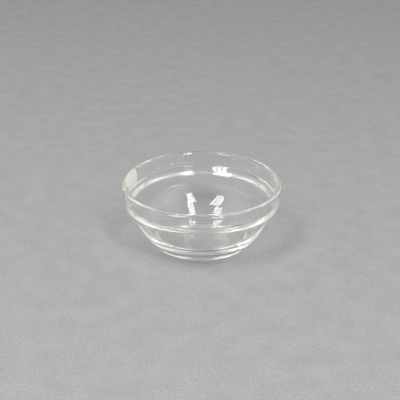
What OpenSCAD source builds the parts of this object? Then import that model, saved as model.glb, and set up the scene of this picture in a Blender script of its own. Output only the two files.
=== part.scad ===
// Clear pressed-glass prep bowl that stacks, with a blank paper label on its collar.
// Millimetres, +Z up. The origin is on the table, on the bowl's axis.

/* [Rim and collar] */
// Outer diameter across the rim
rim_d = 120; // [100:1:160]
// Height of the rim above the table
bowl_h = 48; // [42:0.5:64]
// Thickness of the rounded rim
rim_t = 4.4; // [3.4:0.1:5.4]
// Height of the collar, from its flat underside to the top of the rim
collar_h = 17.7; // [15:0.1:21]
// How much the collar narrows on each side, from the rim to its lower edge
collar_taper = 1.8; // [0.6:0.1:3]
// How far the ledge's upper corner lies inside the collar's lower edge
collar_t = 2.6; // [2:0.1:3.4]
// Rounding of the collar's lower outer edge
collar_edge_r = 2.4; // [1:0.1:2.8]
// Rounding between the collar's underside and the body
underside_r = 1.6; // [1:0.1:2.4]

/* [Stacking ledge] */
// Height of the ledge's upper corner above the collar's underside
ledge_rise = 6.8; // [5.8:0.1:8.4]
// Height of the sloping ledge, from its upper corner to the body's inner wall
ledge_h = 4.8; // [3.6:0.1:5.6]
// Rounding in the ledge's upper corner
ledge_top_r = 2.4; // [1:0.1:3.2]
// Rounding of the ledge's lower edge
ledge_low_r = 6; // [3:0.5:9]

/* [Body] */
// Width of the step under the collar, from the collar's outer face to the body
step_w = 5.4; // [4.6:0.1:7]
// How far the body's side swells beyond a straight line from the foot to the collar
body_bulge = 3.4; // [2.6:0.1:4.6]
// Wall thickness of the body
wall_t = 2.8; // [2.2:0.1:3.6]
// Height of the inside floor above the table
floor_z = 4; // [3:0.1:6]
// Rounding between the inside floor and the wall, as far as the wall has room for it
floor_r = 26; // [14:0.5:30]

/* [Foot] */
// Diameter of the foot
foot_d = 73.2; // [60:0.2:84]
// Height of the foot's straight side
foot_h = 0.8; // [0.6:0.1:2]
// Rounding of the foot's bottom edge
foot_edge_r = 0.4; // [0.2:0.1:0.6]
// Width of the flat ring that the bowl stands on
foot_ring_w = 13.6; // [6:0.2:20]
// Height of the recess inside that ring
recess_h = 0.4; // [0.2:0.1:1]
// Width of the slope between the ring and the recess
recess_slope_w = 1.2; // [0.6:0.1:3]

/* [Label] */
// Length of the label round the collar
label_w = 32; // [15:0.5:60]
// Bare glass between the label and the rounded rim
label_top_gap = 1.4; // [0.8:0.1:4]
// Bare glass between the label and the collar's rounded lower edge
label_low_gap = 0.5; // [0.2:0.1:4]
// Thickness of the label's paper
label_t = 0.15; // [0.1:0.05:0.4]
// Direction that the middle of the label faces, in degrees from +X towards +Y
label_turn = 168; // [0:1:359]

/* [Hidden] */
// Widest gap between a true arc of the section and its chords
chord_gap = 0.01;
// Widest floor rounding, as a share of the largest circle that fits above the floor in the inner wall's arc
floor_r_share = 0.8;
// Facets of the preview round the bowl's axis
$fn = 180;

// Points that the bowl's section is built on, as [radius, height]
collar_z = bowl_h - collar_h;
collar_low_r = rim_d/2 - collar_taper;
lip_r = rim_t/2;
lip_centre = [rim_d/2 - lip_r, bowl_h - lip_r];
collar_low = [collar_low_r, collar_z];
ledge_top = [collar_low_r - collar_t, collar_z + ledge_rise];
foot_top = [foot_d/2, foot_h];
body_top = [collar_low_r - step_w, collar_z];

// The body's side is one arc from the foot to the step, and its inner wall shares the centre
side = body_top - foot_top;
body_r = (norm(side)*norm(side)/4 + body_bulge*body_bulge)/(2*body_bulge);
body_centre = (foot_top + body_top)/2 + (body_r - body_bulge)*[-side.y, side.x]/norm(side);
inner_r = body_r - wall_t;
ledge_low_z = ledge_top.y - ledge_h;
ledge_low = [circle_reach(body_centre, inner_r, ledge_low_z), ledge_low_z];

// Centres of the arcs that blend the body into the step, the ledge and the floor
underside_z = collar_z - underside_r;
underside_centre = [circle_reach(body_centre, body_r + underside_r, underside_z), underside_z];
slope = unit(ledge_low - ledge_top);
slope_start = ledge_top + ledge_low_r*[-slope.y, slope.x];
ledge_low_centre = line_meets_circle(slope_start, slope, body_centre, inner_r + ledge_low_r);
floor_fit_r = min(floor_r, floor_r_share*(inner_r + body_centre.y - floor_z)/2);
floor_centre_z = floor_z + floor_fit_r;
floor_centre = [circle_reach(body_centre, inner_r - floor_fit_r, floor_centre_z), floor_centre_z];

// Where the collar's straight faces meet the round lip
lip_outer_turn = tangent_turn(lip_centre, lip_r, collar_low, 1);
lip_inner_turn = tangent_turn(lip_centre, lip_r, ledge_top, -1) + 360;
lip_outer = polar(lip_centre, lip_r, lip_outer_turn);
lip_inner = polar(lip_centre, lip_r, lip_inner_turn);
collar_edge = corner([body_top.x, collar_z], collar_low, lip_outer, collar_edge_r);

// The collar's straight outer face, which the label is stuck to
face_start = collar_edge[len(collar_edge) - 1];
face_up = unit(lip_outer - face_start);
face_out = [face_up.y, -face_up.x];
label_low = face_start + label_low_gap*face_up;
label_top = lip_outer - label_top_gap*face_up;
label_angle = label_w/((label_low.x + label_top.x)/2)*180/PI;

function unit(v) = v/norm(v);
function turn_of(v) = atan2(v.y, v.x);
function polar(centre, r, turn) = centre + r*[cos(turn), sin(turn)];
// Outer radius that a circle of the section reaches at a height
function circle_reach(centre, r, z) = centre.x + sqrt(r*r - (z - centre.y)*(z - centre.y));
// Turn about a circle's centre at which a line from a point touches it
function tangent_turn(centre, r, point, side) = turn_of(point - centre) + side*acos(r/norm(point - centre));
// First point at which a line from outside a circle meets it
function line_meets_circle(start, along, centre, r) =
    let (gap = start - centre, closing = gap*along)
    start - along*(closing + sqrt(closing*closing - gap*gap + r*r));
// Points along an arc, close enough that no chord strays by more than chord_gap
function arc(centre, r, from, to) =
    let (steps = ceil(abs(to - from)/(2*acos(1 - chord_gap/r))))
    [for (i = [0:steps]) polar(centre, r, from + (to - from)*i/steps)];
// An arc the short way round, between two points that lie on it
function arc_between(centre, r, start, end) =
    let (from = turn_of(start - centre), sweep = (turn_of(end - centre) - from + 540) % 360 - 180)
    arc(centre, r, from, from + sweep);
// A rounded corner between two straight lines
function corner(before, point, after, r) =
    let (back = unit(before - point), on = unit(after - point), half = acos(back*on)/2)
    let (centre = point + unit(back + on)*r/sin(half), reach = r/tan(half))
    arc_between(centre, r, point + reach*back, point + reach*on);

// The points of a section without those that repeat the one before
function distinct(points) =
    [for (i = [0:len(points) - 1]) if (i == 0 || norm(points[i] - points[i - 1]) > chord_gap) points[i]];

// Half section of the bowl, from the middle of the recess round the outside to the inside floor
function bowl_section() =
    let (ring_in = foot_d/2 - foot_ring_w)
    let (body_end = body_centre + body_r*unit(underside_centre - body_centre))
    let (wall_start = body_centre + inner_r*unit(ledge_low_centre - body_centre))
    let (wall_end = body_centre + inner_r*unit(floor_centre - body_centre))
    let (slope_end = ledge_low_centre + ledge_low_r*[slope.y, -slope.x])
    distinct(concat(
        [[0, recess_h], [ring_in - recess_slope_w, recess_h], [ring_in, 0]],
        corner([ring_in, 0], [foot_d/2, 0], foot_top, foot_edge_r),
        arc_between(body_centre, body_r, foot_top, body_end),
        arc_between(underside_centre, underside_r, body_end, [underside_centre.x, collar_z]),
        collar_edge,
        arc(lip_centre, lip_r, lip_outer_turn, lip_inner_turn),
        corner(lip_inner, ledge_top, ledge_low, ledge_top_r),
        arc_between(ledge_low_centre, ledge_low_r, slope_end, wall_start),
        arc_between(body_centre, inner_r, wall_start, wall_end),
        arc_between(floor_centre, floor_fit_r, wall_end, [floor_centre.x, floor_z]),
        [[0, floor_z]]
    ));

// The bowl, pressed in one piece
module glass_bowl() {
    color([0.82, 0.9, 0.87, 0.45])
    rotate_extrude()
    polygon(bowl_section());
}

// A strip of paper that follows the collar's outer face
module label() {
    color([0.86, 0.87, 0.83])
    rotate([0, 0, label_turn - label_angle/2])
    rotate_extrude(angle = label_angle)
    polygon([label_low, label_low + label_t*face_out, label_top + label_t*face_out, label_top]);
}

glass_bowl();
label();
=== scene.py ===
import math
import bmesh
import bpy
from mathutils import Matrix, Vector


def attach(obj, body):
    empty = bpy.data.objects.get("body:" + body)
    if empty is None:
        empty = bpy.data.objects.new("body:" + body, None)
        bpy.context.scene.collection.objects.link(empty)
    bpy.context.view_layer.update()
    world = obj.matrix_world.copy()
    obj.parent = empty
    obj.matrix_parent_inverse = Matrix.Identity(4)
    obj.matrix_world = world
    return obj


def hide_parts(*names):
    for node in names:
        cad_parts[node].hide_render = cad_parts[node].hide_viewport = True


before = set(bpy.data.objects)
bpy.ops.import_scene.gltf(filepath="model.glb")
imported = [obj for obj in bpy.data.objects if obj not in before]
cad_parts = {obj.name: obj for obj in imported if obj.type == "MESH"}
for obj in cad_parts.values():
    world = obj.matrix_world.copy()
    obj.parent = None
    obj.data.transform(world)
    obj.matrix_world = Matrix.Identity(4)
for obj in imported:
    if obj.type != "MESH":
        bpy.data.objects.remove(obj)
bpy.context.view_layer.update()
scene = bpy.context.scene

# Glass bowl
# One piece of clear soda-lime glass, pressed between a mould and a plunger and then tempered.
# Its section is turned about the axis: recess, foot, body, step, collar, rim, ledge and inside floor.

# Sizes of the pieces are in millimetres, and MM turns them into metres
MM = 0.001
rim_d = 120
bowl_h = 48
rim_t = 4.4
collar_h = 17.7
collar_taper = 1.8
collar_t = 2.6
collar_edge_r = 2.4
underside_r = 1.6
ledge_rise = 6.8
ledge_h = 4.8
ledge_top_r = 2.4
ledge_low_r = 6
step_w = 5.4
body_bulge = 3.4
wall_t = 2.8
floor_z = 4
floor_r = 26
foot_d = 73.2
foot_h = 0.8
foot_edge_r = 0.4
foot_top_r = 0.5
foot_ring_w = 13.6
recess_h = 0.4
recess_slope_w = 1.2
recess_r = 0.5

# Fineness of the mesh: gap between an arc and its chords, longest step on a straight stretch, facets round
# the axis, and distance within which points on the axis become one
chord_gap = 0.0015
longest_step = 1.2
facets_round = 256
axis_merge = 0.002


def unit(v):
    return v / v.length


# The direction a quarter turn to the left
def left_of(v):
    return Vector((-v.y, v.x))


def turn_of(v):
    return math.atan2(v.y, v.x)


def polar(centre, r, turn):
    return centre + r * Vector((math.cos(turn), math.sin(turn)))


# Outer radius that a circle of the section reaches at a height
def circle_reach(centre, r, z):
    return centre.x + math.sqrt(r * r - (z - centre.y) ** 2)


# Turn about a circle's centre at which a line from a point touches it
def tangent_turn(centre, r, point, side):
    return turn_of(point - centre) + side * math.acos(r / (point - centre).length)


# Points along an arc, close enough that no chord strays by more than chord_gap
def arc(centre, r, start_turn, end_turn):
    steps = math.ceil(abs(end_turn - start_turn) / (2 * math.acos(1 - chord_gap / r)))
    return [polar(centre, r, start_turn + (end_turn - start_turn) * i / steps) for i in range(steps + 1)]


# An arc the short way round, between two points that lie on it
def arc_between(centre, r, start, end):
    start_turn = turn_of(start - centre)
    sweep = (turn_of(end - centre) - start_turn + 3 * math.pi) % (2 * math.pi) - math.pi
    return arc(centre, r, start_turn, start_turn + sweep)


# A rounded corner between two straight lines
def corner(before, point, after, r):
    back = unit(before - point)
    onward = unit(after - point)
    half = math.acos(back.dot(onward)) / 2
    centre = point + unit(back + onward) * r / math.sin(half)
    reach = r / math.tan(half)
    return arc_between(centre, r, point + reach * back, point + reach * onward)


# Long straight stretches get points of their own, so that smooth shading stays true on them
def with_steps(points):
    full = [points[0]]
    for end in points[1:]:
        start = full[-1]
        if (end - start).length < chord_gap:
            continue
        steps = math.ceil((end - start).length / longest_step)
        full += [start.lerp(end, (i + 1) / steps) for i in range(steps)]
    return full


# Points that the section is built on, as radius and height; the body's side and inner wall share a centre
collar_z = bowl_h - collar_h
collar_low_r = rim_d / 2 - collar_taper
lip_r = rim_t / 2
lip_centre = Vector((rim_d / 2 - lip_r, bowl_h - lip_r))
collar_low = Vector((collar_low_r, collar_z))
ledge_top = Vector((collar_low_r - collar_t, collar_z + ledge_rise))
foot_top = Vector((foot_d / 2, foot_h))
body_top = Vector((collar_low_r - step_w, collar_z))
side = body_top - foot_top
body_r = (side.length_squared / 4 + body_bulge ** 2) / (2 * body_bulge)
body_centre = (foot_top + body_top) / 2 + (body_r - body_bulge) * left_of(unit(side))
inner_r = body_r - wall_t
ledge_low_z = ledge_top.y - ledge_h
ledge_low = Vector((circle_reach(body_centre, inner_r, ledge_low_z), ledge_low_z))

# Centres of the arcs that blend the body into the step, the ledge and the floor
underside_z = collar_z - underside_r
underside_centre = Vector((circle_reach(body_centre, body_r + underside_r, underside_z), underside_z))
slope = unit(ledge_low - ledge_top)
slope_start = ledge_top + ledge_low_r * left_of(slope)
gap = slope_start - body_centre
closing = gap.dot(slope)
ledge_low_reach = closing + math.sqrt(closing ** 2 - gap.length_squared + (inner_r + ledge_low_r) ** 2)
ledge_low_centre = slope_start - ledge_low_reach * slope
floor_centre_z = floor_z + floor_r
floor_centre = Vector((circle_reach(body_centre, inner_r - floor_r, floor_centre_z), floor_centre_z))

# Where the arcs and the straight stretches meet
lip_outer_turn = tangent_turn(lip_centre, lip_r, collar_low, 1)
lip_inner_turn = tangent_turn(lip_centre, lip_r, ledge_top, -1) + 2 * math.pi
lip_outer = polar(lip_centre, lip_r, lip_outer_turn)
lip_inner = polar(lip_centre, lip_r, lip_inner_turn)
body_end = body_centre + body_r * unit(underside_centre - body_centre)
wall_start = body_centre + inner_r * unit(ledge_low_centre - body_centre)
wall_end = body_centre + inner_r * unit(floor_centre - body_centre)
slope_end = ledge_low_centre - ledge_low_r * left_of(slope)
collar_edge = corner(Vector((body_top.x, collar_z)), collar_low, lip_outer, collar_edge_r)

# The foot's small corners are rounded as fire-polished glass is
recess_edge = Vector((foot_d / 2 - foot_ring_w - recess_slope_w, recess_h))
ring_in = Vector((foot_d / 2 - foot_ring_w, 0))
foot_low = Vector((foot_d / 2, 0))
foot_top_centre_x = foot_d / 2 + foot_top_r
foot_top_drop = math.sqrt((body_r + foot_top_r) ** 2 - (foot_top_centre_x - body_centre.x) ** 2)
foot_top_centre = Vector((foot_top_centre_x, body_centre.y - foot_top_drop))
body_start = body_centre + body_r * unit(foot_top_centre - body_centre)
bowl_section = with_steps(
    [Vector((0, recess_h))]
    + corner(Vector((0, recess_h)), recess_edge, ring_in, recess_r)
    + corner(recess_edge, ring_in, foot_low, recess_r)
    + corner(ring_in, foot_low, foot_top, foot_edge_r)
    + arc_between(foot_top_centre, foot_top_r, Vector((foot_d / 2, foot_top_centre.y)), body_start)
    + arc_between(body_centre, body_r, body_start, body_end)
    + arc_between(underside_centre, underside_r, body_end, Vector((underside_centre.x, collar_z)))
    + collar_edge
    + arc(lip_centre, lip_r, lip_outer_turn, lip_inner_turn)
    + corner(lip_inner, ledge_top, ledge_low, ledge_top_r)
    + arc_between(ledge_low_centre, ledge_low_r, slope_end, wall_start)
    + arc_between(body_centre, inner_r, wall_start, wall_end)
    + arc_between(floor_centre, floor_r, wall_end, Vector((floor_centre.x, floor_z)))
    + [Vector((0, floor_z))]
)


def add_node(tree, kind, **settings):
    node = tree.nodes.new(kind)
    for name, value in settings.items():
        setattr(node, name, value)
    return node


# Sets a named input of a geometry tree by its socket's identifier
def set_input(modifier, name, value):
    sockets = modifier.node_group.interface.items_tree
    modifier[next(s.identifier for s in sockets if s.name == name and s.in_out == "INPUT")] = value


# Sweeps the section round a circle as wide as the rim, and closes it on the axis
lathe = bpy.data.node_groups.new("lathe", "GeometryNodeTree")
lathe.interface.new_socket("Section", in_out="INPUT", socket_type="NodeSocketGeometry")
lathe.interface.new_socket("Rim Radius", in_out="INPUT", socket_type="NodeSocketFloat")
lathe.interface.new_socket("Facets Round", in_out="INPUT", socket_type="NodeSocketInt")
lathe.interface.new_socket("Glass", in_out="INPUT", socket_type="NodeSocketMaterial")
lathe.interface.new_socket("Bowl", in_out="OUTPUT", socket_type="NodeSocketGeometry")
given = add_node(lathe, "NodeGroupInput")
outline = add_node(lathe, "GeometryNodeMeshToCurve")
path = add_node(lathe, "GeometryNodeCurvePrimitiveCircle")
sweep = add_node(lathe, "GeometryNodeCurveToMesh")
close = add_node(lathe, "GeometryNodeMergeByDistance")
close.inputs["Distance"].default_value = axis_merge * MM
smooth = add_node(lathe, "GeometryNodeSetShadeSmooth")
realize = add_node(lathe, "GeometryNodeRealizeInstances")
finish = add_node(lathe, "GeometryNodeSetMaterial")
made = add_node(lathe, "NodeGroupOutput")
lathe.links.new(given.outputs["Section"], outline.inputs["Mesh"])
lathe.links.new(given.outputs["Rim Radius"], path.inputs["Radius"])
lathe.links.new(given.outputs["Facets Round"], path.inputs["Resolution"])
lathe.links.new(path.outputs["Curve"], sweep.inputs["Curve"])
lathe.links.new(outline.outputs["Curve"], sweep.inputs["Profile Curve"])
lathe.links.new(sweep.outputs["Mesh"], close.inputs["Geometry"])
lathe.links.new(close.outputs["Geometry"], smooth.inputs["Geometry"])
lathe.links.new(smooth.outputs["Geometry"], realize.inputs["Geometry"])
lathe.links.new(realize.outputs["Geometry"], finish.inputs["Geometry"])
lathe.links.new(given.outputs["Glass"], finish.inputs["Material"])
lathe.links.new(finish.outputs["Geometry"], made.inputs["Bowl"])

# Soft patches that pass from a low level to a high one, for every surface that isn't quite even
patch_noise_low = 0.3
patch_noise_high = 0.7
patches = bpy.data.node_groups.new("soft_patches", "ShaderNodeTree")
patches.interface.new_socket("Place", in_out="INPUT", socket_type="NodeSocketVector")
patches.interface.new_socket("Patches per Metre", in_out="INPUT", socket_type="NodeSocketFloat")
patches.interface.new_socket("Detail", in_out="INPUT", socket_type="NodeSocketFloat")
patches.interface.new_socket("Low", in_out="INPUT", socket_type="NodeSocketFloat")
patches.interface.new_socket("High", in_out="INPUT", socket_type="NodeSocketFloat")
patches.interface.new_socket("Level", in_out="OUTPUT", socket_type="NodeSocketFloat")
patch_inputs = add_node(patches, "NodeGroupInput")
patch_noise = add_node(patches, "ShaderNodeTexNoise")
patch_level = add_node(patches, "ShaderNodeMapRange")
patch_level.inputs["From Min"].default_value = patch_noise_low
patch_level.inputs["From Max"].default_value = patch_noise_high
patch_output = add_node(patches, "NodeGroupOutput")
patches.links.new(patch_inputs.outputs["Place"], patch_noise.inputs["Vector"])
patches.links.new(patch_inputs.outputs["Patches per Metre"], patch_noise.inputs["Scale"])
patches.links.new(patch_inputs.outputs["Detail"], patch_noise.inputs["Detail"])
patches.links.new(patch_noise.outputs["Fac"], patch_level.inputs["Value"])
patches.links.new(patch_inputs.outputs["Low"], patch_level.inputs["To Min"])
patches.links.new(patch_inputs.outputs["High"], patch_level.inputs["To Max"])
patches.links.new(patch_level.outputs["Result"], patch_output.inputs["Level"])


def add_patches(tree, place, per_metre, detail, low, high):
    group = add_node(tree, "ShaderNodeGroup", node_tree=patches)
    group.inputs["Patches per Metre"].default_value = per_metre
    group.inputs["Detail"].default_value = detail
    group.inputs["Low"].default_value = low
    group.inputs["High"].default_value = high
    tree.links.new(place, group.inputs["Place"])
    return group.outputs["Level"]


def add_bump(tree, shader, height, strength, distance):
    bump = add_node(tree, "ShaderNodeBump")
    bump.inputs["Strength"].default_value = strength
    bump.inputs["Distance"].default_value = distance
    tree.links.new(height, bump.inputs["Height"])
    tree.links.new(bump.outputs["Normal"], shader.inputs["Normal"])


# Clear glass with a pale yellow-green tint in its depth, faint waves from the mould, thin smudges from
# wiping, and a few tiny specks of dust in some cells of an even scatter
glass_ior = 1.52
glass_tint = (0.9, 0.96, 0.65, 1)
tint_density = 2
mould_wave = 0.2
speck_cells_per_metre = 160
speck_cells_empty = 0.93
speck_largest = 0.07
speck_frosting = 0.6
glass = bpy.data.materials.new("clear_pressed_glass")
glass.use_nodes = True
glass_tree = glass.node_tree
glass_shader = glass_tree.nodes["Principled BSDF"]
glass_shader.inputs["Base Color"].default_value = (1, 1, 1, 1)
glass_shader.inputs["Transmission Weight"].default_value = 1
glass_shader.inputs["IOR"].default_value = glass_ior
tint = add_node(glass_tree, "ShaderNodeVolumeAbsorption")
tint.inputs["Color"].default_value = glass_tint
tint.inputs["Density"].default_value = tint_density
glass_tree.links.new(tint.outputs["Volume"], glass_tree.nodes["Material Output"].inputs["Volume"])
glass_place = add_node(glass_tree, "ShaderNodeTexCoord").outputs["Object"]
waves = add_patches(glass_tree, glass_place, per_metre=70, detail=0, low=0, high=1)
add_bump(glass_tree, glass_shader, waves, strength=0.03, distance=mould_wave * MM)
smudges = add_patches(glass_tree, glass_place, per_metre=45, detail=3, low=-0.02, high=0.02)
speck_cells = add_node(glass_tree, "ShaderNodeTexVoronoi")
speck_cells.inputs["Scale"].default_value = speck_cells_per_metre
speck_share = add_node(glass_tree, "ShaderNodeSeparateColor")
speck_size = add_node(glass_tree, "ShaderNodeMapRange")
speck_size.inputs["From Min"].default_value = speck_cells_empty
speck_size.inputs["From Max"].default_value = 1
speck_size.inputs["To Max"].default_value = speck_largest
speck = add_node(glass_tree, "ShaderNodeMath", operation="LESS_THAN")
speck_frost = add_node(glass_tree, "ShaderNodeMath", operation="MULTIPLY_ADD", use_clamp=True)
speck_frost.inputs[1].default_value = speck_frosting
glass_tree.links.new(glass_place, speck_cells.inputs["Vector"])
glass_tree.links.new(speck_cells.outputs["Color"], speck_share.inputs["Color"])
glass_tree.links.new(speck_share.outputs["Red"], speck_size.inputs["Value"])
glass_tree.links.new(speck_cells.outputs["Distance"], speck.inputs[0])
glass_tree.links.new(speck_size.outputs["Result"], speck.inputs[1])
glass_tree.links.new(speck.outputs["Value"], speck_frost.inputs[0])
glass_tree.links.new(smudges, speck_frost.inputs[2])
glass_tree.links.new(speck_frost.outputs["Value"], glass_shader.inputs["Roughness"])

# The section is drawn flat, measured from the rim and turned over, as the sweep takes it
section_mesh = bpy.data.meshes.new("bowl_section")
section_points = [((p.x - rim_d / 2) * MM, -p.y * MM, 0) for p in reversed(bowl_section)]
section_mesh.from_pydata(section_points, [(i, i + 1) for i in range(len(section_points) - 1)], [])
bowl = bpy.data.objects.new("bowl", section_mesh)
scene.collection.objects.link(bowl)
turning = bowl.modifiers.new("turning", "NODES")
turning.node_group = lathe
set_input(turning, "Rim Radius", rim_d / 2 * MM)
set_input(turning, "Facets Round", facets_round)
set_input(turning, "Glass", glass)
depsgraph = bpy.context.evaluated_depsgraph_get()
bowl_mesh = bpy.data.meshes.new_from_object(bowl.evaluated_get(depsgraph), depsgraph=depsgraph)
bowl.modifiers.clear()
bowl.data = bowl_mesh
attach(bowl, "root")
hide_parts("glass_bowl")

# Paper label
# A plain strip of white paper with round corners, stuck with clear adhesive to the collar's outer face.
# It shows through the glass at the back left of the bowl.
label_w = 32
label_top_gap = 1.4
label_low_gap = 0.5
label_t = 0.15
label_turn = math.radians(168)
label_corner_r = 1.2
label_bond = 0.03
label_wear_w = 0.9
label_columns = 48
label_rows = 12

# The paper lies on the collar's straight outer face
face_start = collar_edge[-1]
face_up = unit(lip_outer - face_start)
face_out = -left_of(face_up)
label_low = face_start + label_low_gap * face_up
label_top = lip_outer - label_top_gap * face_up
label_h = (label_top - label_low).length
label_mean_r = (label_low.x + label_top.x) / 2


# A point of the label, from its place along and up the paper and its height off the glass
def label_point(along, up, off):
    section_point = label_low + up * face_up + off * face_out
    turn = label_turn + (along - label_w / 2) / label_mean_r
    return Vector((section_point.x * math.cos(turn), section_point.x * math.sin(turn), section_point.y)) * MM


# Points round the edge of one side of the paper, from its low left corner
def paper_edge(grid):
    low = [column[0] for column in grid]
    right = grid[-1][1:]
    top = [column[-1] for column in grid[-2::-1]]
    left = grid[0][-2:0:-1]
    return low + right + top + left


# Both sides of the paper are grids that are finer towards the round corners
label_build = bmesh.new()
label_places = {}
paper_side = {}
for off in (-label_bond, label_t):
    grid = []
    for column in range(label_columns + 1):
        along = label_w * (1 - math.cos(math.pi * column / label_columns)) / 2
        inset = max(0, label_corner_r - min(along, label_w - along))
        trim = label_corner_r - math.sqrt(label_corner_r ** 2 - inset ** 2)
        rows = [trim + (label_h - 2 * trim) * row / label_rows for row in range(label_rows + 1)]
        column_points = [label_build.verts.new(label_point(along, up, off)) for up in rows]
        label_places.update({point: (along, up) for point, up in zip(column_points, rows)})
        grid.append(column_points)
    paper_side[off] = grid
for grid in paper_side.values():
    for left, right in zip(grid, grid[1:]):
        for row in range(label_rows):
            label_build.faces.new((left[row], right[row], right[row + 1], left[row + 1]))
edge_inner = paper_edge(paper_side[-label_bond])
edge_outer = paper_edge(paper_side[label_t])
for i in range(len(edge_inner)):
    label_build.faces.new((edge_inner[i - 1], edge_inner[i], edge_outer[i], edge_outer[i - 1]))
bmesh.ops.recalc_face_normals(label_build, faces=label_build.faces)

# A map in millimetres along and up the paper, which its streaks and worn edges follow
label_map = label_build.loops.layers.uv.new("paper_mm")
for place, (along, up) in label_places.items():
    for loop in place.link_loops:
        loop[label_map].uv = (along, up)
label_mesh = bpy.data.meshes.new("label")
label_build.to_mesh(label_mesh)
label_build.free()
label = bpy.data.objects.new("paper_label", label_mesh)
scene.collection.objects.link(label)

# Matt white paper with fine fibres, faint upright streaks where it was rubbed down, and greyer edges
paper_white = (0.88, 0.88, 0.845)
worn_shade = 0.85
streak_squeeze = Vector((1, 0.08, 0))
fibre_height = 0.03
paper = bpy.data.materials.new("label_paper")
paper.use_nodes = True
paper_tree = paper.node_tree
paper_shader = paper_tree.nodes["Principled BSDF"]
paper_coordinates = add_node(paper_tree, "ShaderNodeTexCoord")
paper_place = paper_coordinates.outputs["Object"]
paper_along = paper_coordinates.outputs["UV"]
fibres = add_patches(paper_tree, paper_place, per_metre=1500, detail=3, low=0.96, high=1.02)
streak_stretch = add_node(paper_tree, "ShaderNodeVectorMath", operation="MULTIPLY")
streak_stretch.inputs[1].default_value = streak_squeeze * MM
paper_tree.links.new(paper_along, streak_stretch.inputs[0])
streak_place = streak_stretch.outputs["Vector"]
streaks = add_patches(paper_tree, streak_place, per_metre=900, detail=1, low=0.93, high=1.02)
paper_parts = add_node(paper_tree, "ShaderNodeSeparateXYZ")
paper_tree.links.new(paper_along, paper_parts.inputs["Vector"])
shade = streaks
for part, length in (("X", label_w), ("Y", label_h)):
    from_middle = add_node(paper_tree, "ShaderNodeMath", operation="SUBTRACT")
    from_middle.inputs[1].default_value = length / 2
    distance = add_node(paper_tree, "ShaderNodeMath", operation="ABSOLUTE")
    wear = add_node(paper_tree, "ShaderNodeMapRange", interpolation_type="SMOOTHSTEP")
    wear.inputs["From Min"].default_value = length / 2 - label_wear_w
    wear.inputs["From Max"].default_value = length / 2
    wear.inputs["To Min"].default_value = 1
    wear.inputs["To Max"].default_value = worn_shade
    worn = add_node(paper_tree, "ShaderNodeMath", operation="MULTIPLY")
    paper_tree.links.new(paper_parts.outputs[part], from_middle.inputs[0])
    paper_tree.links.new(from_middle.outputs["Value"], distance.inputs[0])
    paper_tree.links.new(distance.outputs["Value"], wear.inputs["Value"])
    paper_tree.links.new(shade, worn.inputs[0])
    paper_tree.links.new(wear.outputs["Result"], worn.inputs[1])
    shade = worn.outputs["Value"]
fibre_shade = add_node(paper_tree, "ShaderNodeMath", operation="MULTIPLY")
paper_tree.links.new(shade, fibre_shade.inputs[0])
paper_tree.links.new(fibres, fibre_shade.inputs[1])
paper_colour = add_node(paper_tree, "ShaderNodeVectorMath", operation="SCALE")
paper_colour.inputs[0].default_value = paper_white
paper_tree.links.new(fibre_shade.outputs["Value"], paper_colour.inputs["Scale"])
paper_tree.links.new(paper_colour.outputs["Vector"], paper_shader.inputs["Base Color"])
paper_roughness = add_patches(paper_tree, paper_place, per_metre=120, detail=2, low=0.75, high=0.95)
paper_tree.links.new(paper_roughness, paper_shader.inputs["Roughness"])
add_bump(paper_tree, paper_shader, fibres, strength=0.3, distance=fibre_height * MM)
label.data.materials.append(paper)
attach(label, "root")
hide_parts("label")

# Table top
# A plain pale grey cloth, pulled flat, which fills the view behind the bowl.
cloth_half = 4
cloth_drop = 0.02
cloth_grey = (0.289, 0.288, 0.289)
cloth_gloss = 0.1
pile_height = 0.2
table_mesh = bpy.data.meshes.new("table")
table_corners = [(-cloth_half, -cloth_half, 0), (cloth_half, -cloth_half, 0),
                 (cloth_half, cloth_half, 0), (-cloth_half, cloth_half, 0)]
table_mesh.from_pydata(table_corners, [], [(0, 1, 2, 3)])
table = bpy.data.objects.new("table", table_mesh)
table.location.z = -cloth_drop * MM
scene.collection.objects.link(table)
cloth = bpy.data.materials.new("grey_cloth")
cloth.use_nodes = True
cloth_tree = cloth.node_tree
cloth_shader = cloth_tree.nodes["Principled BSDF"]
cloth_shader.inputs["Specular IOR Level"].default_value = cloth_gloss
cloth_place = add_node(cloth_tree, "ShaderNodeTexCoord").outputs["Object"]
pile = add_patches(cloth_tree, cloth_place, per_metre=600, detail=2, low=0.9, high=1.1)
mottling = add_patches(cloth_tree, cloth_place, per_metre=60, detail=3, low=0.95, high=1.05)
cloth_shade = add_node(cloth_tree, "ShaderNodeMath", operation="MULTIPLY")
cloth_colour = add_node(cloth_tree, "ShaderNodeVectorMath", operation="SCALE")
cloth_colour.inputs[0].default_value = cloth_grey
cloth_tree.links.new(pile, cloth_shade.inputs[0])
cloth_tree.links.new(mottling, cloth_shade.inputs[1])
cloth_tree.links.new(cloth_shade.outputs["Value"], cloth_colour.inputs["Scale"])
cloth_tree.links.new(cloth_colour.outputs["Vector"], cloth_shader.inputs["Base Color"])
cloth_roughness = add_patches(cloth_tree, cloth_place, per_metre=45, detail=2, low=0.9, high=1)
cloth_tree.links.new(cloth_roughness, cloth_shader.inputs["Roughness"])
add_bump(cloth_tree, cloth_shader, pile, strength=0.3, distance=pile_height * MM)
table.data.materials.append(cloth)

# Light
# A white tent: its sides are bright above the table's edge, its top and back are paler grey, and its front
# is open and dark. Two strip lights hang in the opening, and the glass mirrors them.

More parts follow.
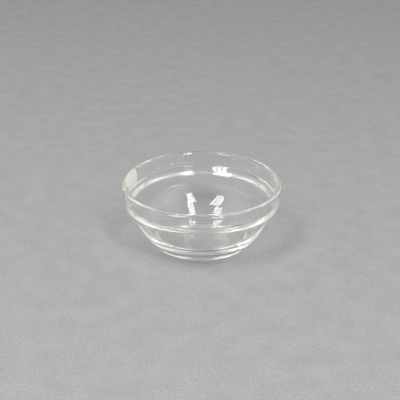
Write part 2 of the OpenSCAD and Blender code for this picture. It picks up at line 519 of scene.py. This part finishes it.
# Brightness of each side, and the range of a direction over which one side passes into the next
front_level = 0.16
back_level = 0.4
side_level = 1.25
low_side_level = 0.4
top_level = 0.6
side_start = 0.2
side_end = 0.8
low_side_start = -0.05
low_side_end = 0.3
back_start = -0.3
back_end = 0.3
top_start = 0.5
top_end = 0.95
tent = bpy.data.worlds.new("white_tent")
scene.world = tent
tent.use_nodes = True
backdrop = tent.node_tree.nodes["Background"]
backdrop.inputs["Color"].default_value = (1, 1, 1, 1)


# How far a value has come from one end of a range to the other, eased at both ends
def eased_share(value, start, end):
    share = add_node(tent.node_tree, "ShaderNodeMapRange", interpolation_type="SMOOTHSTEP")
    share.inputs["From Min"].default_value = start
    share.inputs["From Max"].default_value = end
    tent.node_tree.links.new(value, share.inputs["Value"])
    return share.outputs["Result"]


# A level that passes over to another as a share grows
def blended_level(share, level_a, level_b):
    blend = add_node(tent.node_tree, "ShaderNodeMix", data_type="FLOAT")
    tent.node_tree.links.new(share, blend.inputs["Factor"])
    for socket, level in ((blend.inputs["A"], level_a), (blend.inputs["B"], level_b)):
        if isinstance(level, bpy.types.NodeSocket):
            tent.node_tree.links.new(level, socket)
        else:
            socket.default_value = level
    return blend.outputs["Result"]


direction = add_node(tent.node_tree, "ShaderNodeTexCoord")
parts = add_node(tent.node_tree, "ShaderNodeSeparateXYZ")
sideways = add_node(tent.node_tree, "ShaderNodeMath", operation="ABSOLUTE")
tent.node_tree.links.new(direction.outputs["Generated"], parts.inputs["Vector"])
tent.node_tree.links.new(parts.outputs["X"], sideways.inputs[0])
end_level = blended_level(eased_share(parts.outputs["Y"], back_start, back_end), front_level, back_level)
rising_level = blended_level(eased_share(parts.outputs["Z"], low_side_start, low_side_end),
                             low_side_level, side_level)
wall_level = blended_level(eased_share(sideways.outputs["Value"], side_start, side_end),
                           end_level, rising_level)
tent_level = blended_level(eased_share(parts.outputs["Z"], top_start, top_end), wall_level, top_level)
tent.node_tree.links.new(tent_level, backdrop.inputs["Strength"])

# Each strip light runs from a low end in front of the bowl to a high end almost overhead. The right one is
# a single wide strip, and the left one is three narrow strips side by side.
strip_distance = 1.5
strip_radiance = 13
wide_strip_w = 0.27
narrow_strip_w = 0.1
narrow_strip_pitch = 0.122
right_low = Vector((0.374, -0.732, 0.567))
right_high = Vector((0.202, -0.324, 0.925))
left_low = Vector((-0.519, -0.564, 0.635))
left_high = Vector((-0.25, -0.135, 0.982))
right_strips = [(right_low, right_high, 0, wide_strip_w)]
left_strips = [(left_low, left_high, place * narrow_strip_pitch, narrow_strip_w) for place in (-1, 0, 1)]
for number, (low_end, high_end, offset, width) in enumerate(right_strips + left_strips):
    run = strip_distance * (high_end - low_end)
    backward = unit(low_end + high_end)
    along = unit(run - run.dot(backward) * backward)
    across = along.cross(backward)
    middle = strip_distance * (low_end + high_end) / 2 + offset * across
    strip = bpy.data.lights.new(f"strip_{number}", "AREA")
    strip.shape = "RECTANGLE"
    strip.size = width
    strip.size_y = run.length
    strip.energy = strip_radiance * math.pi * width * run.length
    holder = bpy.data.objects.new(f"strip_{number}", strip)
    facing = Matrix((across, along, backward)).transposed()
    holder.matrix_world = Matrix.Translation(middle) @ facing.to_4x4()
    scene.collection.objects.link(holder)

# Light passes many faces of the glass before it comes out, neither blurred nor held down on the way
light_bounces = 64
scene.cycles.blur_glossy = 0
scene.cycles.sample_clamp_indirect = 0
scene.cycles.max_bounces = light_bounces
scene.cycles.transmission_bounces = light_bounces
scene.cycles.glossy_bounces = light_bounces

# Camera
# A long lens that looks down on the bowl from a seated height.
view_elevation = math.radians(25.9)
view_distance = 0.72
aim = Vector((-1.4 * MM, 0, 32.5 * MM))
lens = bpy.data.cameras.new("camera")
lens.lens = 85.2
lens.sensor_width = 36
camera = bpy.data.objects.new("camera", lens)
camera.location = aim + view_distance * Vector((0, -math.cos(view_elevation), math.sin(view_elevation)))
camera.rotation_euler = (math.pi / 2 - view_elevation, 0, 0)
scene.collection.objects.link(camera)
scene.camera = camera

scene.view_settings.view_transform = "Standard"
